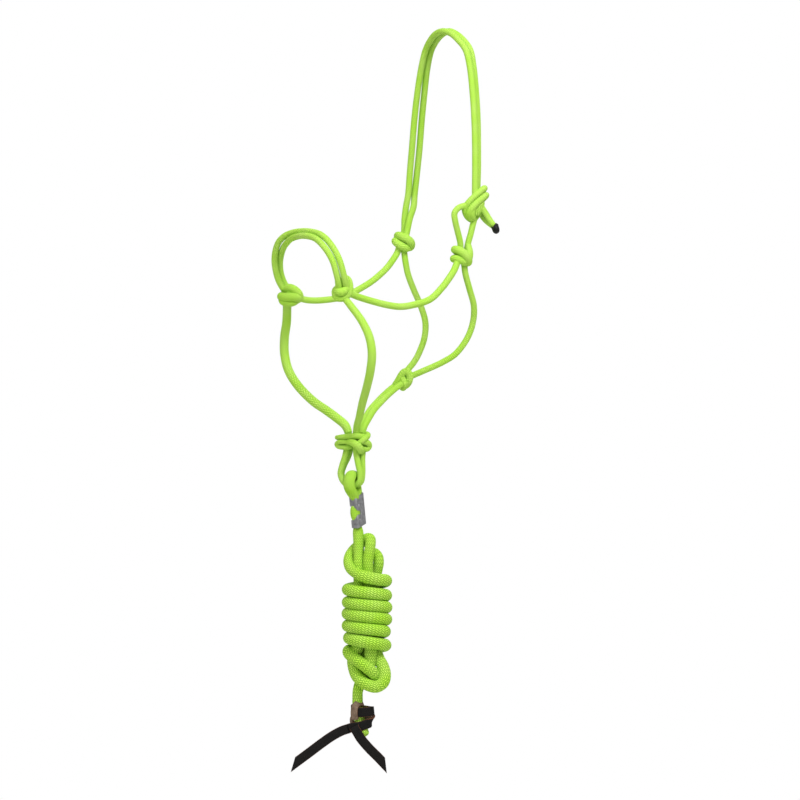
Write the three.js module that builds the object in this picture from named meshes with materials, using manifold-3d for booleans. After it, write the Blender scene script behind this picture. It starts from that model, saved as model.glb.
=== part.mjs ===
// A knotted rope halter with its lead rope, hanging open as it hangs on a horse's head.
//
// The halter is one thin braided rope tied into a crown, two cheek knots, a doubled noseband,
// two chin strands, a throat loop and a fiador knot. Two loops under the fiador knot carry the
// eye of a thicker lead rope, which a folded steel clamp holds shut. The lead hangs as a wound
// hank, and a leather popper is tied round its tail.
//
// Frame: millimetres, +Z up, the horse's nose towards -Y and the horse's left towards +X.
// Origin: under the middle of the crown, where it rests behind the horse's ears.

import * as THREE from 'three';
import { mergeVertices } from 'three/addons/utils/BufferGeometryUtils.js';
import Module from 'manifold-3d';

const manifold = await Module();
manifold.setup();

// ---------------------------------------------------------------- driving dimensions

const HALTER_ROPE = 8.5; // diameter of the crown, nose, cheek, throat and jaw strands
const CHIN_ROPE = 11; // the same rope, slack and swollen, in the two chin strands
const LOOP_ROPE = 7; // the same rope, drawn tight, in the two lead loops
const LEAD_ROPE = 14; // diameter of the lead rope
const EYE_ROPE = 12; // the lead rope where it is pulled tight round the loops
const GAP = 0.3; // between pieces that touch
const SLIVER = 0.03; // details finer than this are left out

const CHEEK_HALF = 71; // half the distance between the cheek knots
const NOSE_HALF = 64; // half the distance between the nose knots
const CHEEK_RIGHT = [-CHEEK_HALF, -17.5, -275];
const CHEEK_LEFT = [CHEEK_HALF - 1.5, -17.5, -293];
const NOSE_RIGHT = [-NOSE_HALF, -200, -347];
const NOSE_LEFT = [NOSE_HALF, -200, -340.5];
const THROAT_KNOT = [0, -61, -459.5];
const TIE_KNOT = [77, 1.5, -225];

const LEAD_AXIS = [4, -139]; // where the lead hangs, in X and Y
const LEAD_TURN = 39; // degrees that the lead has twisted about +Z
const FIADOR_OFFSET = -5.6; // the fiador knot's middle along the lead's own X
const FIADOR_HEIGHT = 27;
const FIADOR_BOTTOM = -554.5; // the axis that the lead loops swing about
const LOOP_SPREAD = 3.8; // each lead loop's distance from the lead's middle plane
const SOCKET_RADIUS = 10; // the hollow under the fiador knot where the loops swing

const EYE_CENTRE = [-6.6, -599.6]; // X and Z of the axis that the lead's eye turns about
const EYE_RADIUS = 13.6; // centreline radius of the eye
const CLAMP_TOP = -616.5;
const CLAMP_SIZE = [12.6, 18, 41]; // across the ropes, along the pair of ropes, height
const CLAMP_WALL = 1.2;
const CLAMP_TILT = 5.5; // degrees
const CLAMP_TWIST = -22; // degrees about the clamp's own axis
const WINDOW_RADIUS = 8.6; // the round notch in the clamp

const HANK_AXIS = 14; // the hank's middle along the lead's own X
const HANK_RADIUS = 32.5;
const HANK_FLATTENING = 0.9;
const HANK_TOP = -668;
const HANK_BOTTOM = -876;
const HANK_WRAPS = 7;
const HANK_WRAPS_TOP = -709;
const HANK_WRAPS_BOTTOM = -820;

const STRAP_WIDTH = 13; // the leather popper
const STRAP_THICKNESS = 2.6;
const POPPER_TURN = 18; // degrees that the popper has twisted against the lead

const TUBE_SIDES = 8;
const KNOT_SIDES = 14;

// ---------------------------------------------------------------- materials

const halterRope = new THREE.MeshStandardMaterial({ color: 0xa6de4e, roughness: 0.85 });
const leadRope = new THREE.MeshStandardMaterial({ color: 0x9ad643, roughness: 0.85 });
const clampSteel = new THREE.MeshStandardMaterial({ color: 0x8f9092, roughness: 0.4, metalness: 0.9 });
const leather = new THREE.MeshStandardMaterial({ color: 0x241e1a, roughness: 0.7 });
const capPlastic = new THREE.MeshStandardMaterial({ color: 0x232222, roughness: 0.5 });

// ---------------------------------------------------------------- solids

/** A geometry's closed surface as a solid that can be cut and joined. */
function toSolid(geometry) {
  const bare = geometry.clone();
  bare.deleteAttribute('normal');
  bare.deleteAttribute('uv');
  const welded = mergeVertices(bare, 1e-4);
  return new manifold.Manifold(new manifold.Mesh({
    numProp: 3,
    vertProperties: Float32Array.from(welded.attributes.position.array),
    triVerts: Uint32Array.from(welded.index.array),
  }));
}

/** A solid as a geometry again, without the slivers that cutting leaves. */
function toGeometry(solid) {
  const surface = solid.asOriginal().simplify(SLIVER).getMesh();
  const geometry = new THREE.BufferGeometry();
  geometry.setAttribute('position', new THREE.BufferAttribute(surface.vertProperties, 3));
  geometry.setIndex(new THREE.BufferAttribute(surface.triVerts, 1));
  geometry.computeVertexNormals();
  return geometry;
}

/** One geometry less the others: the largest piece that is left. */
function cut(geometry, ...tools) {
  const rest = tools.reduce((solid, tool) => solid.subtract(toSolid(tool)), toSolid(geometry));
  const pieces = rest.decompose().sort((a, b) => b.volume() - a.volume());
  return toGeometry(pieces[0]);
}

/** Several geometries as one. */
function join(first, ...others) {
  return toGeometry(others.reduce((solid, other) => solid.add(toSolid(other)), toSolid(first)));
}

/** A named mesh in a group. */
function addMesh(group, name, geometry, material) {
  const mesh = new THREE.Mesh(geometry, material);
  mesh.name = name;
  group.add(mesh);
  return mesh;
}

/** The same points on the horse's other side. */
function mirrored(points) {
  return points.map(([x, y, z]) => [-x, y, z]);
}

/** A rope along a smooth curve through the points: stride is its step in diameters. */
function ropeTube(points, diameter, stride = 2) {
  const path = new THREE.CatmullRomCurve3(points.map((p) => new THREE.Vector3(...p)), false, 'centripetal');
  const section = new THREE.Shape();
  for (let side = 0; side < TUBE_SIDES; side += 1) {
    const angle = (side / TUBE_SIDES) * 2 * Math.PI;
    const [x, y] = [diameter * 0.5 * Math.cos(angle), diameter * 0.5 * Math.sin(angle)];
    if (side === 0) section.moveTo(x, y);
    else section.lineTo(x, y);
  }
  section.closePath();
  const steps = Math.max(2, Math.round(path.getLength() / (stride * diameter)));
  return new THREE.ExtrudeGeometry(section, { steps, bevelEnabled: false, extrudePath: path });
}

/** A body of revolution about Z, from [radius, height] pairs that rise and end on the axis. */
function turned(profile, sides = KNOT_SIDES, start = 0) {
  const points = profile.map(([radius, height]) => new THREE.Vector2(radius, height));
  return new THREE.LatheGeometry(points, sides, start).rotateX(Math.PI / 2);
}

/** A pulled-tight knot: round rope wraps side by side about Z. grow makes it bigger all round. */
function knotGeometry(radius, wraps, wrapRadius, grow = 0, start = 0) {
  const pitch = 1.86 * wrapRadius;
  const half = ((wraps - 1) * pitch) / 2 + wrapRadius;
  const profile = [[0, -half - grow]];
  for (let wrap = 0; wrap < wraps; wrap += 1) {
    const height = (wrap - (wraps - 1) / 2) * pitch;
    for (const degrees of [-78, -40, 0, 40, 78]) {
      const angle = THREE.MathUtils.degToRad(degrees);
      profile.push([
        radius - wrapRadius + (wrapRadius + grow) * Math.cos(angle),
        height + (wrapRadius + grow) * Math.sin(angle),
      ]);
    }
  }
  profile.push([0, half + grow]);
  return turned(profile, KNOT_SIDES, start);
}

// ---------------------------------------------------------------- knots of the halter

const halter = new THREE.Group();

/** Adds a knot with its wraps stacked along a direction, and returns the tool that trims ropes to it. */
function addKnot(name, centre, along, radius, wraps, wrapRadius) {
  const mesh = addMesh(halter, name, knotGeometry(radius, wraps, wrapRadius), halterRope);
  mesh.position.set(...centre);
  mesh.quaternion.setFromUnitVectors(new THREE.Vector3(0, 0, 1), new THREE.Vector3(...along).normalize());
  mesh.updateMatrix();
  return knotGeometry(radius, wraps, wrapRadius, GAP).applyMatrix4(mesh.matrix);
}

const cheekRight = addKnot('cheek_knot_right', CHEEK_RIGHT, [0.25, 0.35, 0.9], 15.3, 2, 6);
const cheekLeft = addKnot('cheek_knot_left', CHEEK_LEFT, [0.25, 0.35, 0.9], 13.6, 2, 5.8);
const noseRight = addKnot('nose_knot_right', NOSE_RIGHT, [-0.15, -0.4, 0.9], 15.5, 2, 7.5);
const noseLeft = addKnot('nose_knot_left', NOSE_LEFT, [0.1, -0.15, 0.98], 13.5, 3, 6);
const throatKnot = addKnot('throat_knot', THROAT_KNOT, [0, 0.6, 0.8], 11.5, 2, 6.8);
const tieKnot = addKnot('tie_knot', TIE_KNOT, [0.1, -0.8, 0.75], 19, 2, 7);

/** The fiador knot, wide and flattened, less the socket under it where the lead loops swing. */
function addFiadorKnot() {
  const knot = (grow) => knotGeometry(25, 2, FIADOR_HEIGHT / 3.86, grow, 0.17).scale(1, 0.68, 1);
  const bottom = FIADOR_HEIGHT / 2;
  const socket = new THREE.CylinderGeometry(SOCKET_RADIUS, SOCKET_RADIUS, 32, 15)
    .rotateZ(Math.PI / 2)
    .rotateX(0.13)
    .translate(3, 0, -bottom);
  const mesh = addMesh(halter, 'fiador_knot', cut(knot(0), socket), halterRope);
  const turn = THREE.MathUtils.degToRad(LEAD_TURN);
  mesh.position.set(
    LEAD_AXIS[0] + FIADOR_OFFSET * Math.cos(turn),
    LEAD_AXIS[1] + FIADOR_OFFSET * Math.sin(turn),
    FIADOR_BOTTOM + bottom,
  );
  mesh.rotation.z = turn;
  mesh.updateMatrix();
  return knot(GAP).applyMatrix4(mesh.matrix);
}

const fiador = addFiadorKnot();

// ---------------------------------------------------------------- strands of the halter

/** Adds a strand of rope whose ends are trimmed to the knots that it runs into. */
function addStrand(name, points, diameter, ...knots) {
  addMesh(halter, name, cut(ropeTube(points, diameter), ...knots), halterRope);
}

const CROWN_FRONT = [
  [-75.5, -16, -275], [-78.7, -10.5, -262], [-80.4, -8.7, -245], [-79.9, -6.5, -228],
  [-78.5, -4.2, -213], [-77.5, -1.9, -181],
  [-73.5, -1.2, -149], [-70.5, 0, -117], [-66, 1.2, -85], [-57, 3, -43], [-48, 3.5, -21], [-33, 2, -7],
  [-18, 0.7, 1], [0, 0.3, 4.25], [18, 1, 1], [33, 2, -7], [50, 3.5, -21], [60, 3.5, -43], [69.5, 2.5, -85],
  [74.5, 1.5, -117], [77.5, 0.5, -149], [80, -1, -181], [81, -2, -212],
];
const CROWN_REAR = [
  [-67.5, -17, -275], [-69.2, -12.1, -262], [-70.7, -6.8, -245], [-74.2, 1.8, -228],
  [-78, 5.6, -213], [-77, 9.2, -181],
  [-73.5, 10.8, -149], [-70.5, 11.8, -117], [-66, 12.5, -85], [-57, 12.5, -43], [-48, 12.5, -21],
  [-33, 11, -8], [-18, 10, 0], [0, 9.8, 4.25], [18, 10, 0], [33, 11, -8], [47, 12.5, -21], [55, 12.5, -43],
  [63, 12, -85], [67.5, 11, -117], [70.5, 9.5, -149], [73.5, 7.5, -181], [74, 6, -212],
];
addStrand('crown_strand_front', CROWN_FRONT, HALTER_ROPE, cheekRight, tieKnot);
addStrand('crown_strand_rear', CROWN_REAR, HALTER_ROPE, cheekRight, tieKnot);

// The loop of the left cheek knot that the crown is tied to.
const TIE_LOOP_FRONT = [
  [69.5, -17, -291], [71.8, -19.4, -278], [73.6, -25, -262], [75.2, -29.4, -250], [75.5, -31, -239], [76, -25.5, -232],
  [76.5, -17, -229], [77, -7, -228],
];
const TIE_LOOP_REAR = [
  [70, -8.6, -291], [72.4, -7.2, -278], [73, -3.6, -266], [73, -0.8, -256], [73, 2.6, -245], [73, 6, -232],
];
addStrand('tie_loop_front', TIE_LOOP_FRONT, HALTER_ROPE * 0.95, cheekLeft, tieKnot);
addStrand('tie_loop_rear', TIE_LOOP_REAR, HALTER_ROPE * 0.95, cheekLeft, tieKnot);

// The crown's two ends hang from the tie, and a cap holds them together.
const TAIL_END = [90.4, 22.3, -253.1];
const CAP_LENGTH = 13;
const TAIL_UPPER = [
  [80.6, 3, -223], [83.6, 9.2, -233.6], [86.2, 13.6, -241.4], [90.4, 17.1, -249.4], [95.2, 20.3, -255.9],
];
const TAIL_LOWER = [
  [76, 8.4, -229], [74.6, 12.8, -240.4], [77.6, 16.8, -247.4], [81.8, 19.8, -252], [87.2, 24.1, -257.6],
];
const tailDirection = new THREE.Vector3(0.33, 0.14, -0.93).normalize();

/** The cap is an oval cup with a rounded end, around both rope ends. */
function addTailCap() {
  const mouth = 4.9;
  const profile = [[0, -6], [mouth, -6], [mouth, 2], [mouth * 0.86, 5], [mouth * 0.5, 6.6], [0, 7]];
  const cap = turned(profile, 12).scale(1, 1.5, 1);
  const mesh = addMesh(halter, 'crown_tail_cap', cap, capPlastic);
  const across = new THREE.Vector3().subVectors(
    new THREE.Vector3(...TAIL_UPPER.at(-1)),
    new THREE.Vector3(...TAIL_LOWER.at(-1)),
  );
  const side = new THREE.Vector3().crossVectors(across, tailDirection).normalize();
  across.crossVectors(tailDirection, side).normalize();
  mesh.quaternion.setFromRotationMatrix(new THREE.Matrix4().makeBasis(side, across, tailDirection));
  mesh.position.set(...TAIL_END).addScaledVector(tailDirection, CAP_LENGTH / 2);
  mesh.updateMatrix();
  return turned(profile.map(([r, h]) => [r === 0 ? 0 : r + GAP, h + Math.sign(h) * GAP]), 12)
    .scale(1, 1.5, 1)
    .applyMatrix4(mesh.matrix);
}

const tailCap = addTailCap();
addStrand('crown_tail_upper', TAIL_UPPER, HALTER_ROPE * 0.9, tieKnot, tailCap);
addStrand('crown_tail_lower', TAIL_LOWER, HALTER_ROPE * 0.9, tieKnot, tailCap);

const CHEEK_STRAND_LEFT = [
  [66, -195, -344], [67, -178, -350], [70, -161, -355], [75, -136, -361], [77, -118, -363], [78, -100, -361],
  [78, -71, -353], [77, -52, -338], [76, -41, -326.5], [74, -31, -315], [71.5, -23, -302],
];
const CHEEK_STRAND_RIGHT = [
  [-66, -195, -349], [-68, -170, -354], [-72, -139, -353.5], [-74, -109, -349], [-75, -80, -337],
  [-75, -61, -326.5], [-74, -42, -311.5], [-73, -33, -301], [-72, -25, -289], [-71.5, -23, -281],
];
addStrand('cheek_strand_left', CHEEK_STRAND_LEFT, HALTER_ROPE, noseLeft, cheekLeft);
addStrand('cheek_strand_right', CHEEK_STRAND_RIGHT, HALTER_ROPE, noseRight, cheekRight);

// The noseband's middle, from its top down to the left nose knot, and its outer strand's offset
// on the way from the right nose knot over the top to the left one: the pair is half twisted.
const NOSEBAND_HALF = [
  [0, -220.3, -266], [29.3, -220.3, -268.8], [43.3, -220.7, -273.4], [54.7, -220.5, -280],
  [65.3, -218.4, -290.6], [72.3, -215.7, -303], [74.8, -212.5, -316.5], [74, -208.6, -328.5],
  [70, -203, -341],
];
const NOSEBAND_OFFSETS = [
  [1.4, -4.4, 0], [1.4, -4.4, 0], [1.4, -4.4, 0], [0.5, -4.5, 0.5], [-0.7, -4.3, 1.2], [-1.5, -3.2, 3],
  [-1.2, -1, 4.4], [-0.5, 1.9, 4.2], [0, 3.6, 3], [0.8, 3.7, 2.6], [1.4, 3.7, 2.4], [2.2, 3.6, 2],
  [2.8, 3.5, 1.2], [3, 3.5, 0.3], [3, 3.5, 0], [2.8, 3.6, 0], [2.2, 4, 0],
];
const NOSEBAND = [...mirrored(NOSEBAND_HALF).reverse(), ...NOSEBAND_HALF.slice(1)];

/** One strand of the noseband's pair. */
function nosebandStrand(side) {
  return NOSEBAND.map((point, i) => point.map((value, axis) => value + side * NOSEBAND_OFFSETS[i][axis]));
}

addStrand('noseband_strand_outer', nosebandStrand(1), HALTER_ROPE, noseRight, noseLeft);
addStrand('noseband_strand_inner', nosebandStrand(-1), HALTER_ROPE, noseRight, noseLeft);

const CHIN_STRAND = [
  [66, -202, -348], [77, -197, -361], [92.5, -188, -383], [104, -184, -404], [107, -182, -425], [100.5, -180, -447],
  [84.5, -175, -468], [60, -166, -489], [43, -158, -500], [27, -150.5, -511], [14, -145.5, -521], [8, -143.5, -533],
];
addStrand('chin_strand_left', CHIN_STRAND, CHIN_ROPE, noseLeft, fiador);
addStrand('chin_strand_right', mirrored(CHIN_STRAND), CHIN_ROPE, noseRight, fiador);

const THROAT_STRAND = [
  [70, -10, -319], [68, -2, -340], [64.5, 7, -362], [58, 9.8, -383], [52.5, 4.7, -404], [45, -9.5, -425.5],
  [35, -23.5, -436.5], [20, -44, -448], [6, -57, -456],
];
addStrand('throat_strand_left', [[70.5, -12, -302], ...THROAT_STRAND], HALTER_ROPE, cheekLeft, throatKnot);
addStrand('throat_strand_right', [
  [-70.5, -12, -283], [-70.2, -14.5, -299], ...mirrored(THROAT_STRAND),
], HALTER_ROPE, cheekRight, throatKnot);

const JAW_STRAND = [
  [4.5, -66, -464], [4.6, -78, -471], [4.6, -89, -479], [4.6, -101.5, -489.5], [4.6, -112.5, -500],
  [4.6, -120.5, -511], [4.6, -127, -521], [4.6, -132, -533],
];
addStrand('jaw_strand_left', JAW_STRAND, HALTER_ROPE, throatKnot, fiador);
addStrand('jaw_strand_right', mirrored(JAW_STRAND), HALTER_ROPE, throatKnot, fiador);

// ---------------------------------------------------------------- the two loops for the lead

const lead = new THREE.Group();
lead.position.set(LEAD_AXIS[0], LEAD_AXIS[1], 0);
lead.rotation.z = THREE.MathUtils.degToRad(LEAD_TURN);

const LOOP_FRONT = [
  [-12.5, -545], [-14, -556], [-16, -564], [-19.5, -574.5], [-21.7, -585], [-18, -595], [-12.5, -599.4],
  [-6.6, -599.6], [0, -599.4], [4.6, -595], [5.8, -585], [3.6, -574.5], [1.4, -564], [0, -556], [-0.5, -545],
];
const LOOP_REAR = [
  [-10.5, -545], [-11.5, -556], [-14.5, -564], [-19.8, -574.5], [-22.6, -585], [-18, -595], [-12.5, -599.4],
  [-6.6, -599.6], [0, -599.4], [4.8, -595], [6.4, -585], [6.4, -574.5], [6.2, -564], [6.8, -556], [7, -545],
];

/** A loop of rope whose two ends are rounded about the axis that it swings about. */
function addLoop(name, route, side) {
  const points = route.map(([x, z]) => [x, side * LOOP_SPREAD, z]);
  const reach = 4 * SOCKET_RADIUS;
  const above = new THREE.BoxGeometry(2 * reach, 2 * reach, reach).translate(0, 0, FIADOR_BOTTOM + reach / 2);
  const swing = new THREE.CylinderGeometry(SOCKET_RADIUS - GAP, SOCKET_RADIUS - GAP, 3 * reach, 16)
    .rotateZ(Math.PI / 2)
    .translate(0, 0, FIADOR_BOTTOM);
  addMesh(lead, name, cut(ropeTube(points, LOOP_ROPE, 0.6), cut(above, swing)), halterRope);
}

addLoop('lead_loop_front', LOOP_FRONT, -1);
addLoop('lead_loop_rear', LOOP_REAR, 1);

// ---------------------------------------------------------------- the lead's clamp

const clamp = new THREE.Group();
const CLAMP_CENTRE = [1.3, 0, CLAMP_TOP - CLAMP_SIZE[2] / 2];
clamp.position.set(...CLAMP_CENTRE);
clamp.rotation.set(0, THREE.MathUtils.degToRad(-CLAMP_TILT), THREE.MathUtils.degToRad(CLAMP_TWIST), 'YXZ');
lead.add(clamp);

/** An upright bar with a rounded rectangular section. */
function roundedBar(width, depth, height, corner) {
  const [x, y] = [width / 2 - corner, depth / 2 - corner];
  const section = new THREE.Shape();
  section.absarc(x, y, corner, 0, Math.PI / 2);
  section.absarc(-x, y, corner, Math.PI / 2, Math.PI);
  section.absarc(-x, -y, corner, Math.PI, 1.5 * Math.PI);
  section.absarc(x, -y, corner, 1.5 * Math.PI, 2 * Math.PI);
  return new THREE.ExtrudeGeometry(section, { depth: height, bevelEnabled: false, curveSegments: 3 })
    .translate(0, 0, -height / 2);
}

/** The clamp: a folded steel sleeve with a round notch at one edge and two pressed dimples. */
function addClamp() {
  const [width, depth, height] = CLAMP_SIZE;
  const inside = roundedBar(width - 2 * CLAMP_WALL, depth - 2 * CLAMP_WALL, height + 2, 2);
  const notch = new THREE.CylinderGeometry(WINDOW_RADIUS, WINDOW_RADIUS, width, 16)
    .translate(-width / 2 - 1.5, -depth / 2, 0)
    .rotateZ(-0.1);
  const dimples = [-10.5, 10.5].map((height_) => new THREE.SphereGeometry(1.6, 8, 6)
    .translate(width / 2 + 0.9, -2.5, height_));
  addMesh(clamp, 'lead_clamp', cut(roundedBar(width, depth, height, 3), inside, notch, ...dimples), clampSteel);
  const splice = roundedBar(
    width - 2 * CLAMP_WALL - 2 * GAP,
    depth - 2 * CLAMP_WALL - 2 * GAP,
    height,
    2,
  );
  addMesh(clamp, 'lead_splice', splice, leadRope);
}

addClamp();

// ---------------------------------------------------------------- the lead rope

/** A slab above the clamp's top face, or below its bottom face, in the lead's frame. */
function clampFace(sign) {
  const slab = 80;
  clamp.updateMatrix();
  return new THREE.BoxGeometry(slab, slab, CLAMP_SIZE[2] + 2 * GAP + slab)
    .translate(0, 0, sign * slab / 2)
    .applyMatrix4(clamp.matrix);
}

/** The eye: two legs that meet over the loops, run round them and come together at the clamp. */
function addEye() {
  const [x, z] = EYE_CENTRE;
  const leg = (side) => ropeTube([
    [x, -side, z + EYE_RADIUS],
    [x, side * 5.2, z + 12.6],
    [x, side * 9.6, z + 9.6],
    [x, side * 12.6, z + 5.2],
    [x, side * EYE_RADIUS, z],
    [x + 1.2, side * 12.4, z - 5.6],
    [x + 2.8, side * 9.4, z - 10],
    [x + 4.6, side * 5.6, z - 15],
    [x + 6, side * 4, z - 22],
  ], EYE_ROPE, 0.5);
  addMesh(lead, 'lead_eye', cut(join(leg(-1), leg(1)), clampFace(-1)), leadRope);
}

addEye();

/** The hank: folded rope above and below, and wraps side by side round its middle. */
function hankGeometry(grow) {
  const pitch = (HANK_WRAPS_TOP - HANK_WRAPS_BOTTOM) / HANK_WRAPS;
  const profile = [
    [0, HANK_BOTTOM - grow], [14, HANK_BOTTOM + 1 - grow], [21, HANK_BOTTOM + 8], [24, HANK_BOTTOM + 22],
    [25, HANK_BOTTOM + 38], [27, HANK_WRAPS_BOTTOM - 1],
  ];
  for (let wrap = 0; wrap < HANK_WRAPS; wrap += 1) {
    const height = HANK_WRAPS_BOTTOM + (wrap + 0.5) * pitch;
    for (const degrees of [-60, -25, 25, 60]) {
      const angle = THREE.MathUtils.degToRad(degrees);
      profile.push([
        HANK_RADIUS - LEAD_ROPE / 2 + (LEAD_ROPE / 2) * Math.cos(angle),
        height + (pitch / 2) * Math.sin(angle),
      ]);
    }
  }
  profile.push(
    [26, HANK_WRAPS_TOP + 3], [23, HANK_TOP - 20], [20, HANK_TOP - 8], [13, HANK_TOP - 1 + grow],
    [0, HANK_TOP + grow],
  );
  return turned(profile.map(([radius, height]) => [radius === 0 ? 0 : radius + grow, height]), 16)
    .scale(1, HANK_FLATTENING, 1)
    .translate(HANK_AXIS, 0, 0);
}

addMesh(lead, 'lead_hank', hankGeometry(0), leadRope);

const STANDING = [[0.8, 0, -650], [1.6, 0, -662], [2.4, -1, -672], [3.5, -3, -690]];
addMesh(lead, 'lead_standing', cut(ropeTube(STANDING, LEAD_ROPE, 0.8), clampFace(1), hankGeometry(GAP)), leadRope);

const TAIL = [
  [3.5, 2, -858], [1.2, 1, -872], [0.8, 0.3, -886], [1.3, 0, -901], [3.6, 0, -912], [7.4, 0, -923], [11.5, 0, -934],
];
addMesh(lead, 'lead_tail', cut(ropeTube(TAIL, LEAD_ROPE, 0.8), hankGeometry(GAP)), leadRope);

// ---------------------------------------------------------------- the leather popper

const popper = new THREE.Group();
popper.rotation.z = THREE.MathUtils.degToRad(POPPER_TURN);
lead.add(popper);

/** A flat strap in the XZ plane along a centreline. endSkew makes its far end oblique. */
function strapGeometry(centreline, depth, endSkew = 0, thickness = STRAP_THICKNESS) {
  const path = new THREE.CatmullRomCurve3(centreline.map(([x, z]) => new THREE.Vector3(x, 0, z)), false, 'centripetal');
  const count = 8;
  const upper = [];
  const lower = [];
  for (let step = 0; step <= count; step += 1) {
    const t = step / count;
    const point = path.getPointAt(t);
    const tangent = path.getTangentAt(t);
    const reach = step === count ? endSkew : 0;
    const [sideX, sideZ] = [-tangent.z * (STRAP_WIDTH / 2), tangent.x * (STRAP_WIDTH / 2)];
    upper.push(new THREE.Vector2(point.x + sideX - tangent.x * reach, point.z + sideZ - tangent.z * reach));
    lower.push(new THREE.Vector2(point.x - sideX + tangent.x * reach, point.z - sideZ + tangent.z * reach));
  }
  return new THREE.ExtrudeGeometry(new THREE.Shape([...lower, ...upper.reverse()]), {
    depth: thickness,
    bevelEnabled: false,
  })
    .rotateX(Math.PI / 2)
    .translate(0, depth + thickness / 2, 0);
}

const LOWER_BAND_DEPTH = -9.4; // in front of the rope
const LEFT_TAIL_DEPTH = -12.6; // in front of the lower band

/** The popper's knot: a collar round the rope, its folded side and the band across the front. */
function addPopperKnot() {
  const collar = roundedBar(21.5, 21.5, 17, 7).translate(1.6, 0, -900.5);
  const fold = roundedBar(18, 7, 16, 1).rotateY(-0.25).translate(14, -5.5, -902);
  const side = roundedBar(6, 16, 26, 2.5).rotateY(0.1).translate(16.5, -3, -911);
  const band = strapGeometry([[-12.6, -923.5], [-6.5, -921.5], [4, -920], [17, -915.5]], LOWER_BAND_DEPTH);
  const turn = strapGeometry([[-4, -920.5], [-0.2, -927.3]], (LOWER_BAND_DEPTH + LEFT_TAIL_DEPTH) / 2 - 0.4, 0, 5);
  const link = roundedBar(8, 6, 24, 2).translate(-8.2, -4, -913);
  const rope = ropeTube(TAIL, LEAD_ROPE + 2 * GAP, 0.8).rotateZ(-THREE.MathUtils.degToRad(POPPER_TURN));
  addMesh(popper, 'popper_knot', cut(join(collar, fold, side, band, turn, link), rope), leather);
}

addPopperKnot();
addMesh(popper, 'popper_tail_right', strapGeometry(
  [[-14.2, -924], [-21, -926.5], [-33, -933], [-46, -942], [-62, -954], [-85, -971]],
  LOWER_BAND_DEPTH,
  -8,
), leather);
addMesh(popper, 'popper_tail_left', strapGeometry(
  [[0.8, -929], [5, -936], [16, -949], [27.5, -960.5], [38.5, -972]],
  LEFT_TAIL_DEPTH,
  7,
), leather);

// ---------------------------------------------------------------- the whole object

const ropeHalter = new THREE.Group();
ropeHalter.add(halter, lead);

export default ropeHalter;
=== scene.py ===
"""A knotted rope halter and its lead rope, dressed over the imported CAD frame.

Lengths in the tables below are millimetres in the row frame: +Z up, the noseband towards -Y and
the horse's left towards +X. MM turns them into metres.
"""

import math

import bpy
import numpy as np
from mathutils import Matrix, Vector


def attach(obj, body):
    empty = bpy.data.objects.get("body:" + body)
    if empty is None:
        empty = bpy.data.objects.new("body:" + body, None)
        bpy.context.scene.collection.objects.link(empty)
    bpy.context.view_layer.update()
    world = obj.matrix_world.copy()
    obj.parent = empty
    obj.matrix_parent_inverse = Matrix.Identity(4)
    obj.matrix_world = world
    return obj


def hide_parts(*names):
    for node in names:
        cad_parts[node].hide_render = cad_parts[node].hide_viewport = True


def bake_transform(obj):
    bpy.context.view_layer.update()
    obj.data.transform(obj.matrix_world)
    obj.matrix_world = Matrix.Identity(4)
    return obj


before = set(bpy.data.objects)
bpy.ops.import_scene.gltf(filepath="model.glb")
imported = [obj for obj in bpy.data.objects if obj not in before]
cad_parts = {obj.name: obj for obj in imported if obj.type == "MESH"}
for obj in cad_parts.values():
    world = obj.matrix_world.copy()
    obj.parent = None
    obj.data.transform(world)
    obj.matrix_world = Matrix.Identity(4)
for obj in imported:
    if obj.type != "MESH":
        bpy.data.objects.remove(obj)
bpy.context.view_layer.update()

MM = 0.001
HALTER_ROPE = 8.5
LEAD_ROPE = 14.0
LEAD_IN_HANK = 16.2
LEAD_IN_CLAMP = 9.2
LEAD_IN_EYE = 12.0
STRAP_WIDTH = 12.8

FACING = math.radians(57)  # the azimuth that the halter is seen from
LEAD_TURN = math.radians(39)  # how far the lead has twisted about +Z
LEAD_AXIS = np.array([4.0, -139.0, 0.0])

CAMERA_DISTANCE = 30.0  # metres
CAMERA_TARGET = Vector((0.0, -0.0682, -0.4868))
VIEW_WIDTH = 1.064  # metres across the picture at the target
LIT_MIDDLE = (0, -68, -487)  # what the lamps point at

# ------------------------------------------------------------------ camera


def make_camera():
    """A long lens at the height of the object's middle."""
    camera = bpy.data.objects.new("camera", bpy.data.cameras.new("camera"))
    bpy.context.scene.collection.objects.link(camera)
    camera.location = CAMERA_TARGET + CAMERA_DISTANCE * Vector((math.sin(FACING), -math.cos(FACING), 0))
    camera.rotation_euler = (math.radians(90), 0, FACING)
    camera.data.sensor_width = 36
    camera.data.lens = camera.data.sensor_width * CAMERA_DISTANCE / VIEW_WIDTH
    camera.data.clip_end = 100
    bpy.context.scene.camera = camera


make_camera()

# ------------------------------------------------------------------ curves


def rows(points):
    """Points as an array, in millimetres."""
    return np.array(points, float)


def mirrored(points):
    """The same points on the horse's other side."""
    return rows(points) * (-1, 1, 1)


def in_lead(points):
    """Points of the lead's own frame, in the row frame."""
    p = rows(points)
    c, s = math.cos(LEAD_TURN), math.sin(LEAD_TURN)
    turned = np.stack([c * p[:, 0] - s * p[:, 1], s * p[:, 0] + c * p[:, 1], p[:, 2]], axis=1)
    return turned + LEAD_AXIS


RIGHT = np.array([math.cos(FACING), math.sin(FACING), 0.0])
TOWARD = np.array([math.sin(FACING), -math.cos(FACING), 0.0])
UP = np.array([0.0, 0.0, 1.0])


def about(centre, offsets):
    """Points given as (right, up, toward the viewer) from a centre, in the row frame."""
    o = rows(offsets)
    return rows(centre) + o[:, :1] * RIGHT + o[:, 1:2] * UP + o[:, 2:3] * TOWARD


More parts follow.
